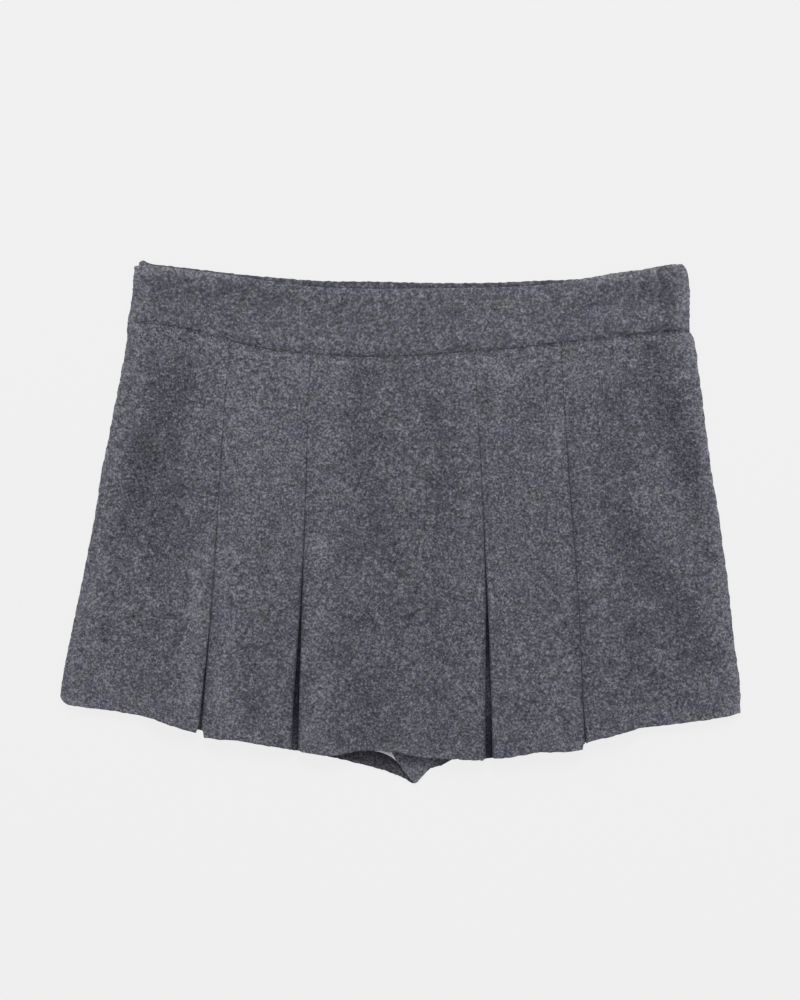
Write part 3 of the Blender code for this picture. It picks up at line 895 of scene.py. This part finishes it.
def face_level(x, left, right, has_left_pleat, has_right_pleat, depth, share):
    """1 where a face lies on a pleat's folds, 0 where it lies on the shorts."""
    level = np.zeros_like(x)
    for has_pleat, inward in ((has_left_pleat, x - left), (has_right_pleat, right - x)):
        if has_pleat:
            ramp = soft_step((inward - depth - RAMP_START) / RAMP_LENGTH)
            level = np.maximum(level, 1 - ramp)
    if has_left_pleat and has_right_pleat:
        held_up = hump((x - LIFT_CENTRE_X) / LIFT_HALF_WIDTH) ** LIFT_POWER
        held_up = LIFT_LEVEL * held_up * soft_step((share - LIFT_FROM) / (1 - LIFT_FROM))
        level = np.maximum(level, held_up)
    return level


def face_stations(face):
    """Shares across a face: even, with close ones at a side seam, and fewer at a fold."""
    shares = shares_with_rims(FACE_COLUMNS[face], FACE_MEAN_WIDTH)
    if face > 0:
        shares = np.concatenate(([0.0], shares[FOLD_RIMS_LEFT_OUT:]))
    if face < len(FACE_COLUMNS) - 1:
        shares = np.concatenate((shares[:-FOLD_RIMS_LEFT_OUT], [1.0]))
    return shares


def turn(x, low_z, high_z, toward, upward):
    """Half circle that joins two layers at x, bulging toward +X or -X."""
    radius = (high_z - low_z) / 2
    angle = np.linspace(-np.pi / 2, np.pi / 2, FOLD_SIDES + 1)
    if not upward:
        angle = angle[::-1]
    return x + toward * radius * np.cos(angle), (low_z + high_z) / 2 + radius * np.sin(angle)


def run_between(first, second, count):
    """Points on the straight layer between two turns, without its ends."""
    part = np.linspace(0.0, 1.0, count + 2)[1:-1]
    start = first[:, -1:]
    return start + (second[:, :1] - start) * part


def hidden_hem(pleat_index, x, lefts, rights, depth):
    """Hem of a pleat's underlay and returns: a curve tucked just inside the faces' hems."""
    left_edge = rights[pleat_index]
    right_edge = lefts[pleat_index + 1]
    left_share = 1 - depth / (left_edge - lefts[pleat_index])
    right_share = depth / (rights[pleat_index + 1] - right_edge)
    left_y = curve_through(HEM_SHARES, FACE_HEMS[pleat_index], left_share) * MM
    right_y = curve_through(HEM_SHARES, FACE_HEMS[pleat_index + 1], right_share) * MM
    known_x = (left_edge - depth, (left_edge + right_edge) / 2, right_edge + depth)
    middle_y = PLEATS[pleat_index].underlay_hem_y * MM
    known_y = (left_y + HIDDEN_HEM_TUCK, middle_y, right_y + HIDDEN_HEM_TUCK)
    return curve_through(known_x, known_y, np.clip(x, known_x[0], known_x[2]))


def skirt_grid():
    """The skirt's middle surface, from the left side seam to the right one.

    Its lower left corner is rounded as a quarter circle, and its upper right one is drawn
    in beside the band. Besides x, y and z it gives, for each point, how freely it puffs up,
    how much painted shade it gets deep in a fold, and the lowest and highest x that the
    pleats' lines leave it.
    """
    share = 1 - shares_with_rims(SKIRT_ROWS, SKIRT_MEAN_LENGTH)[:, None]
    low = SKIRT_BED + CLOTH / 2
    step = layer_step(share)
    middle = low + step
    high = middle + step
    depth = PLEAT_DEPTH_WAIST + (PLEAT_DEPTH_HEM - PLEAT_DEPTH_WAIST) * share
    lefts, rights = fold_centres(share)
    hem_lefts, hem_rights = fold_centres(1.0)
    groups = []
    last = len(FACE_COLUMNS) - 1
    open_ends = np.full_like(share, np.inf)
    for face in range(last + 1):
        along = face_stations(face)
        x = lefts[face] + (rights[face] - lefts[face]) * along
        level = face_level(x, lefts[face], rights[face], face > 0, face < last, depth, share)
        from_side = np.minimum(x - lefts[0], rights[last] - x)
        held_down = 1 - soft_step((from_side - SIDE_SEAM_FLAT) / SIDE_SEAM_TURN)
        z = low + (high - low) * level - (CLOTH + LAYER_GAP) * held_down
        hem_y = curve_through(HEM_SHARES, FACE_HEMS[face], along) * MM
        puff = soft_step((x - lefts[face]) / PUFF_RUN_X)
        puff = puff * soft_step((rights[face] - x) / PUFF_RUN_X)
        least = -open_ends
        most = open_ends
        if face > 0:
            least = line_x(PLEATS[face - 1].line, share) + PRESSED_APART
        if face < last:
            most = line_x(PLEATS[face].line, share) - PRESSED_APART
        groups.append((x, z, hem_y + 0 * x[:1], puff, 0 * x, least + 0 * x, most + 0 * x))
        if face == last:
            break
        pleat = PLEATS[face]
        left_edge = rights[face]
        right_edge = lefts[face + 1]
        slit = slit_half_width(pleat, share)
        # Painted shade in the slit: uneven where it is shut, full where it opens, paler about
        # pale_share.
        shut = SHUT_EVEN + (1 - SHUT_EVEN) * np.sin(SHUT_TURNS * share + face)
        shut = SHUT_DEPTH * shut + pleat.shade * hump((share - SHADE_SHARE) / SHADE_RUN)
        dark = shut + (1 - shut) * soft_step(slit / OPEN_SLIT)
        dark = dark * (1 - pleat.pale * hump((share - pleat.pale_share) / PALE_RUN))
        line = line_x(pleat.line, share)
        bends = [
            turn(left_edge, middle, high, 1, False),
            turn(left_edge - depth, low, middle, -1, False),
            turn(right_edge + depth, low, middle, 1, True),
            turn(right_edge, middle, high, -1, True),
        ]
        parts = [bends[0]]
        for index, count in enumerate((RETURN_POINTS, UNDERLAY_POINTS, RETURN_POINTS), 1):
            before, after = bends[index - 1], bends[index]
            parts.append([run_between(before[part], after[part], count) for part in (0, 1)])
            parts.append(after)
        x = np.concatenate([part[0] for part in parts], axis=1)
        z = np.concatenate([part[1] for part in parts], axis=1)
        # The painted shade grows across each turn into the fold.
        sunk = np.ones_like(x)
        sunk[:, :FOLD_SIDES + 1] = np.linspace(0, 1, FOLD_SIDES + 1) ** LEFT_TURN_POWER
        sunk[:, -FOLD_SIDES - 1:] = np.linspace(1, 0, FOLD_SIDES + 1) ** RIGHT_TURN_POWER
        fold = 2 * (FOLD_SIDES + 1) + RETURN_POINTS
        least = np.full_like(x, -np.inf)
        most = np.full_like(x, np.inf)
        most[:, :fold] = line - PRESSED_APART
        least[:, -fold:] = line + PRESSED_APART
        group = (x, z, None, 0 * x, sunk * dark, least, most)
        group = [part if part is None else part[:, 1:-1] for part in group]
        group[2] = hidden_hem(face, group[0][:1], hem_lefts, hem_rights, PLEAT_DEPTH_HEM)
        groups.append(group)
    x, z, hem_y, puff, sunk, least, most = (
        np.concatenate([group[part] for group in groups], axis=1) for part in range(7))
    top_y = table_y(SEAM, x[-1]) - SEAM_GAP / 2 + WAIST_TUCK
    y = top_y + (hem_y - top_y) * share
    up_corner = np.clip(1 - (y - hem_y) / CORNER_RADIUS, 0.0, 1.0)
    beside = np.maximum(1 - (x - x[:, :1]) / CORNER_REACH, 0.0)
    x = x + CORNER_RADIUS * (1 - np.sqrt(1 - up_corner ** 2)) * beside
    from_notch = 1 - soft_step((top_y - y) / NOTCH_HEIGHT)
    beside = np.maximum(1 - (x[:, -1:] - x) / NOTCH_REACH, 0.0)
    x = x - NOTCH_INSET * from_notch * beside
    return x, y, z, puff, sunk, (least, most)


def painted_side_sheen(x):
    """Painted highlight at both sides of a panel, by the distance from each."""
    return table_value(LEFT_PAINTED_SHEEN, x - x[:, :1]) + table_value(RIGHT_PAINTED_SHEEN, x[:, -1:] - x)


def stray_sides(x, y):
    """x with both sides let out or drawn in, fading away from each as a power of e."""
    from_left = (x - x[:, :1]) / STRAY_REACH
    from_right = (x[:, -1:] - x) / STRAY_REACH
    let_out = table_y(LEFT_STRAY, y) * np.exp(-from_left)
    return x + let_out + table_y(RIGHT_STRAY, y) * np.exp(-from_right)


def seam_shade(x, from_seam):
    """Painted shade at the waist seam: a bell across it, uneven along it, gone at the left."""
    short_wave, long_wave = SEAM_SHADE_WAVES
    uneven = np.sin(x / short_wave) * np.sin(x / long_wave + 1.0)
    along = SEAM_SHADE_EVEN + (1 - SEAM_SHADE_EVEN) * uneven
    along = along * soft_step((x - FADE_LEFT_X) / FADE_RUN)
    return SEAM_SHADE * along * np.exp(-(from_seam / SEAM_SHADE_RUN) ** 2)


def make_skirt():
    """Grid raised to the waist seam, puffed between its folds and pressed by its creases.

    At the side seams it is held down, so there it rises by only a part of that.
    """
    x, y, z, puff, sunk, fences = skirt_grid()
    low = SKIRT_BED + CLOTH / 2
    below_seam = y[-1:] - y
    on_top = sunk == 0
    from_side = np.minimum(x - x[:, :1], x[:, -1:] - x)
    seam_z = WAIST_SEAM_Z + WAIST_SEAM_RISE * soft_step(from_side / WAIST_SIDE_RUN)
    seam_z = seam_z + FADE_RISE * soft_step((FADE_LEFT_X - x) / FADE_RISE_RUN)
    held = SIDE_SEAM_HOLD * (1 - soft_step((from_side - SIDE_SEAM_FLAT) / SIDE_SEAM_TURN))
    near_seam = (1 - soft_step(below_seam / WAIST_RUN)) * (1 - held) * on_top
    z = z + np.maximum(seam_z - z, 0.0) * near_seam
    dip = WAIST_DIP * (1 - soft_step((below_seam - WAIST_TUCK) / WAIST_DIP_RUN))
    folded = np.clip((z - low) / (2 * LAYER_STEP_WAIST), 0.0, 1.0)
    z = z - dip * np.where(z > seam_z + WAIST_DIP_ABOVE, folded, folded * ~on_top)
    trough, tone = crease_field(SKIRT_CREASES, x, y)
    rise = PUFF_HEIGHT * soft_step(below_seam / PUFF_RUN_TOP)
    lift = np.maximum(rise - trough, 0.0) * puff
    middle = np.stack((stray_sides(x, y), y, z + lift), axis=2)
    middle = uneven_edges(middle, ("hem", "left", "right"), 31)
    piece = make_wall("skirt_front_cloth", middle, CLOTH, 0.0, fences)
    # Painted highlights toward the sides, the hem and the waist seam; painted shade in the
    # creases, along the waist seam and in the folds.
    sheen = SKIRT_TONE + painted_side_sheen(x)
    sheen = sheen + table_value(HEM_PAINTED_SHEEN, y - y[:1]) + table_value(WAIST_PAINTED_SHEEN, below_seam)
    dark = tone + seam_shade(x, below_seam - WAIST_TUCK)
    add_tone(piece, (sheen - dark) * on_top, sunk)
    return piece


skirt = make_skirt()
finish_cloth(skirt, "skirt_front", flannel)


# --- Waistband --------------------------------------------
# Contoured front and back bands, each two layers of flannel turned at the top edge and
# sewn to the skirt and the shorts at the waist seam. The back one stands a little higher.

BAND_CLOTH = 2.6 * MM
BAND_BED = BAND_CLOTH + LAYER_GAP

# The bands' top edges: the back one's y at each x, and how far below it the front one lies.
BandTop = namedtuple("BandTop", "x back_y front_drop")
BAND_TOPS = [BandTop(*row) for row in (
    (-182, 177, 2.8), (-178.4, 177.8, 3), (-176.6, 178.6, 3.6), (-175, 178, 3),
    (-173.4, 176.8, 1.9), (-171.1, 176.2, 1.5), (-160.8, 174.9, 1.2), (-134.9, 171.9, 1.4),
    (-119, 169.9, 1.4), (-82.3, 166.4, 3.4), (-54.3, 164.4, 4.6), (-20, 164, 5.1), (27, 163, 3.8),
    (65.2, 163.3, 3.4), (94, 164.6, 3.3), (124, 166, 0.5), (148.6, 170.2, 0.3), (165, 172.2, 0.3),
    (182, 175.3, 0.3), (195, 176, 0.3),
)]

# The four corners, how the foot rises over the pleats and the corners are rounded.
BACK_LEFT_TOP_X = -178.6 * MM
FRONT_LEFT_TOP_X = -181.8 * MM
BAND_RIGHT_TOP_X = 195 * MM
BAND_LEFT_FOOT_X = -186.3 * MM
BAND_RIGHT_FOOT_X = 197.7 * MM
BAND_RISE = 1.6 * MM
BAND_SIDE_FALL = 16 * MM
BAND_CORNER_REACH = 12 * MM
BAND_CORNER_HEIGHT = 7 * MM
BAND_TOP_INSET = 3.2 * MM
BAND_FOOT_INSET = 1 * MM
BAND_FOOT_DIP = 0.6 * MM
BAND_FOOT_RUN = 3.5 * MM
BAND_COLUMNS = 190
BAND_ROWS = 24
BAND_MEAN_LENGTH = 380 * MM
BAND_MEAN_WIDTH = 45 * MM

# The bands' nap is a little coarser and softer than the rest. The back one's inside gets
# painted shade, as in the shade of the front one, apart from its left corner, which
# stands out and gets a painted highlight.
BAND_NAP_DEPTH = 0.47 * MM
BAND_FINENESS = 0.86
BAND_CONTRAST = 0.88
BAND_TONE = 0.028
BACK_PAINTED_SHADE_TONE = -0.05
BACK_PAINTED_SHADE_DEPTH = 0.07
BACK_CORNER_PAINTED_LIGHT = 0.15
BACK_CORNER_RUN = 12 * MM
BAND_CREASES = crease_rows(
    (-168, 156, -118, 155, 5.5, 0.8, 0.08), (-118, 155, -72, 152, 5.5, 0.7, 0.06),
    (-72, 152, -30, 149, 6, 0.3, 0.03), (119, 147, 181, 157, 5.5, 0.7, 0.08),
    (182, 168, 182, 133, 4.5, 1, 0.14), (-6, 136, 22, 133, 5, 0.3, 0.04),
    (-2, 160, -2, 130, 2.2, 0.2, 0.03), (140, 166, 182, 170, 5, -0.2, -0.11),
    (-172, 172, -112, 166.5, 3.5, -0.1, -0.14), (122, 164, 150, 168, 3.5, -0.1, -0.10),
    (98, 150, 112, 148, 7, -0.1, -0.05), (-104, 149, -92, 147, 8, 0.1, 0.04),
    (-145, 131.2, -140.4, 130, 1.2, 0, 0.16), (176, 129.6, 188, 130.2, 1.1, 0, 0.22),
)
BACK_BAND_CREASES = crease_rows(
    (-160, 154, -108, 152, 6, 0.15, 0.07), (-40, 150, 14, 147, 6, 0.12, 0.05),
    (104, 148, 168, 155, 6, 0.15, 0.07),
)
BAND_PUFF = 1 * MM
BAND_PUFF_RUN = 6 * MM
BAND_TOP_PAINTED_SHEEN = ((0, 0.05), (2, 0.02), (5, 0))
BAND_FOOT_PAINTED_SHEEN = ((0, 0.05), (9, 0.03), (16, 0))


def band_grid(top_edge, top_left_x, bed, rise):
    """Band from the waist seam to its top edge, even between them; its right corners are rounded.

    rise lifts its foot over the pleats, and fades toward both sides and the top.
    """
    along = shares_with_rims(BAND_COLUMNS, BAND_MEAN_LENGTH)
    up = shares_with_rims(BAND_ROWS, BAND_MEAN_WIDTH)[:, None]
    foot_x = BAND_LEFT_FOOT_X + (BAND_RIGHT_FOOT_X - BAND_LEFT_FOOT_X) * along
    top_x = top_left_x + (BAND_RIGHT_TOP_X - top_left_x) * along
    x = foot_x + (top_x - foot_x) * up
    foot_y = table_y(SEAM, foot_x) + SEAM_GAP / 2
    y = foot_y + (table_y(top_edge, top_x) - foot_y) * up
    beside = np.maximum(1 - (x[:, -1:] - x) / BAND_CORNER_REACH, 0.0)
    from_top = np.maximum(1 - (y[-1:] - y) / BAND_CORNER_HEIGHT, 0.0) ** 2
    from_foot = np.maximum(1 - (y - foot_y) / BAND_CORNER_HEIGHT, 0.0) ** 2
    x = x - (BAND_TOP_INSET * from_top + BAND_FOOT_INSET * from_foot) * beside
    x = stray_sides(x, y)
    from_side = np.minimum(x - x[:, :1], x[:, -1:] - x)
    lifted = rise * soft_step(from_side / BAND_SIDE_FALL) * (1 - soft_step(up))
    return x, y, bed + BAND_CLOTH / 2 + lifted, from_side


band_flannel = wool_material("wool_flannel_band", BAND_NAP_DEPTH, BAND_FINENESS, BAND_CONTRAST)
back_top = [(row.x, row.back_y) for row in BAND_TOPS]
front_top = [(row.x, row.back_y - row.front_drop) for row in BAND_TOPS]

x, y, z, from_side = band_grid(back_top, BACK_LEFT_TOP_X, 0.0, 0.0)
trough, tone = crease_field(BACK_BAND_CREASES, x, y)
z = z + np.minimum(trough, MOST_TROUGH)
middle = uneven_edges(np.stack((x, y, z), axis=2), ("top", "left", "right"), 41)
band_back = make_wall("waistband_back_cloth", middle, BAND_CLOTH)
# Painted shade on the back band's inside, under the front band, with a painted highlight at its
# left corner; painted shade in the creases outside.
corner = 1 - soft_step((x - x[:, :1]) / BACK_CORNER_RUN)
inside_tone = BACK_PAINTED_SHADE_TONE + BACK_CORNER_PAINTED_LIGHT * corner
add_tone(band_back, inside_tone, BACK_PAINTED_SHADE_DEPTH * (1 - corner), BAND_TONE - tone)
finish_cloth(band_back, "waistband_back", band_flannel)

x, y, z, from_side = band_grid(front_top, FRONT_LEFT_TOP_X, BAND_BED, BAND_RISE)
trough, tone = crease_field(BAND_CREASES, x, y)
z = z - BAND_FOOT_DIP * (1 - soft_step((y - y[:1]) / BAND_FOOT_RUN))
edges = (from_side, y - y[:1], y[-1:] - y)
inside = soft_step(np.minimum.reduce(edges) / BAND_PUFF_RUN)
lift = np.maximum(BAND_PUFF - trough, 0.0) * inside
middle = uneven_edges(np.stack((x, y, z + lift), axis=2), ("top", "left", "right"), 42)
band_front = make_wall("waistband_front_cloth", middle, BAND_CLOTH)
# Painted highlights toward the sides, the top and the foot; painted shade in the creases and
# along the waist seam.
sheen = BAND_TONE + painted_side_sheen(x)
sheen = sheen + table_value(BAND_TOP_PAINTED_SHEEN, y[-1:] - y) + table_value(BAND_FOOT_PAINTED_SHEEN, y - y[:1])
add_tone(band_front, sheen - tone - seam_shade(x, y - y[:1]))
finish_cloth(band_front, "waistband_front", band_flannel)
